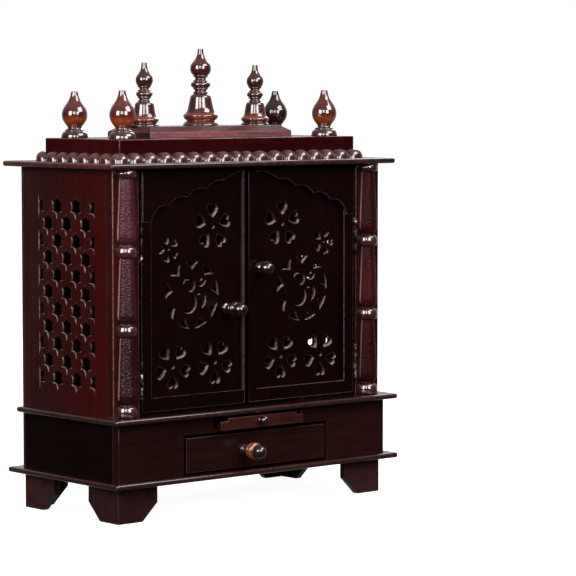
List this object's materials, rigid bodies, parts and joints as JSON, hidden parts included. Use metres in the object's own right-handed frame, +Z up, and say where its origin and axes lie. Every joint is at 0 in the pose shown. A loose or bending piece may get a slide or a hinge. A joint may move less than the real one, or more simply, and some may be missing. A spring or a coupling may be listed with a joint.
{
  "type": "pooja mandir",
  "caption": "Wooden household prayer cabinet with pierced double doors, lattice sides, a drawer, a pull-out tray and a stepped crown with turned finials.",
  "frame": {"origin": "floor level under the middle of the overall width and depth, on the plane that the feet stand on", "axes": "+Z up along the height, -Y out of the door front, +X to the right as seen from the front"},
  "size_m": [0.61, 0.3405, 0.762],
  "materials": {
    "dark_lacquer": "semi-gloss lacquer over dark rosewood stain",
    "red_brown_side": "semi-gloss lacquer, red-brown stain",
    "turned_lacquer": "thick glossy lacquer on turned wood",
    "door_lacquer": "semi-gloss lacquer, very dark brown",
    "hinge_metal": "dulled plated steel",
    "tray_wood": "satin lacquer, redder wood",
    "inner_wood": "satin stain"
  },
  "bodies": {
    "cabinet": {"feet": "dark_lacquer", "base_slab": "dark_lacquer", "lower_side_left": "red_brown_side", "lower_side_right": "red_brown_side", "front_board": "dark_lacquer", "back_panel": "inner_wood", "drawer_deck": "inner_wood", "drawer_runners": "inner_wood", "tray_guides": "inner_wood", "middle_slab": "dark_lacquer", "side_left": "red_brown_side", "side_right": "red_brown_side", "stile_left": "dark_lacquer", "stile_right": "dark_lacquer", "column_left": "turned_lacquer", "column_right": "turned_lacquer", "top_slab": "dark_lacquer", "crown_rails": "dark_lacquer", "crown_top": "dark_lacquer", "bead_moulding": "turned_lacquer", "spire_plinth": "dark_lacquer", "spire_centre": "turned_lacquer", "spire_left": "turned_lacquer", "spire_right": "turned_lacquer", "corner_finials": "turned_lacquer", "hinge_leaves_frame_left": "hinge_metal", "hinge_leaves_frame_right": "hinge_metal"},
    "door_left": {"door_left": "door_lacquer", "arch_left": "door_lacquer", "door_knob_left": "turned_lacquer", "hinge_leaves_door_left": "hinge_metal"},
    "door_right": {"door_right": "door_lacquer", "arch_right": "door_lacquer", "door_knob_right": "turned_lacquer", "hinge_leaves_door_right": "hinge_metal"},
    "drawer": {"drawer_front": "dark_lacquer", "drawer_sides": "inner_wood", "drawer_back": "inner_wood", "drawer_bottom": "inner_wood", "drawer_knob": "turned_lacquer"},
    "tray": {"tray_board": "tray_wood", "tray_front": "tray_wood", "tray_knob": "turned_lacquer"}
  },
  "joints": [
    {"name": "left_door_hinge", "type": "hinge", "parent": "cabinet", "child": "door_left", "pos_m": [-0.2315, -0.11375, 0.369], "axis": [0, 0, -1], "range_deg": [0, 105]},
    {"name": "right_door_hinge", "type": "hinge", "parent": "cabinet", "child": "door_right", "pos_m": [0.2315, -0.11375, 0.369], "axis": [0, 0, 1], "range_deg": [0, 105]},
    {"name": "drawer_slide", "type": "slide", "parent": "cabinet", "child": "drawer", "axis": [0, -1, 0], "range_m": [0, 0.16]},
    {"name": "tray_slide", "type": "slide", "parent": "cabinet", "child": "tray", "axis": [0, -1, 0], "range_m": [0, 0.14]}
  ]
}
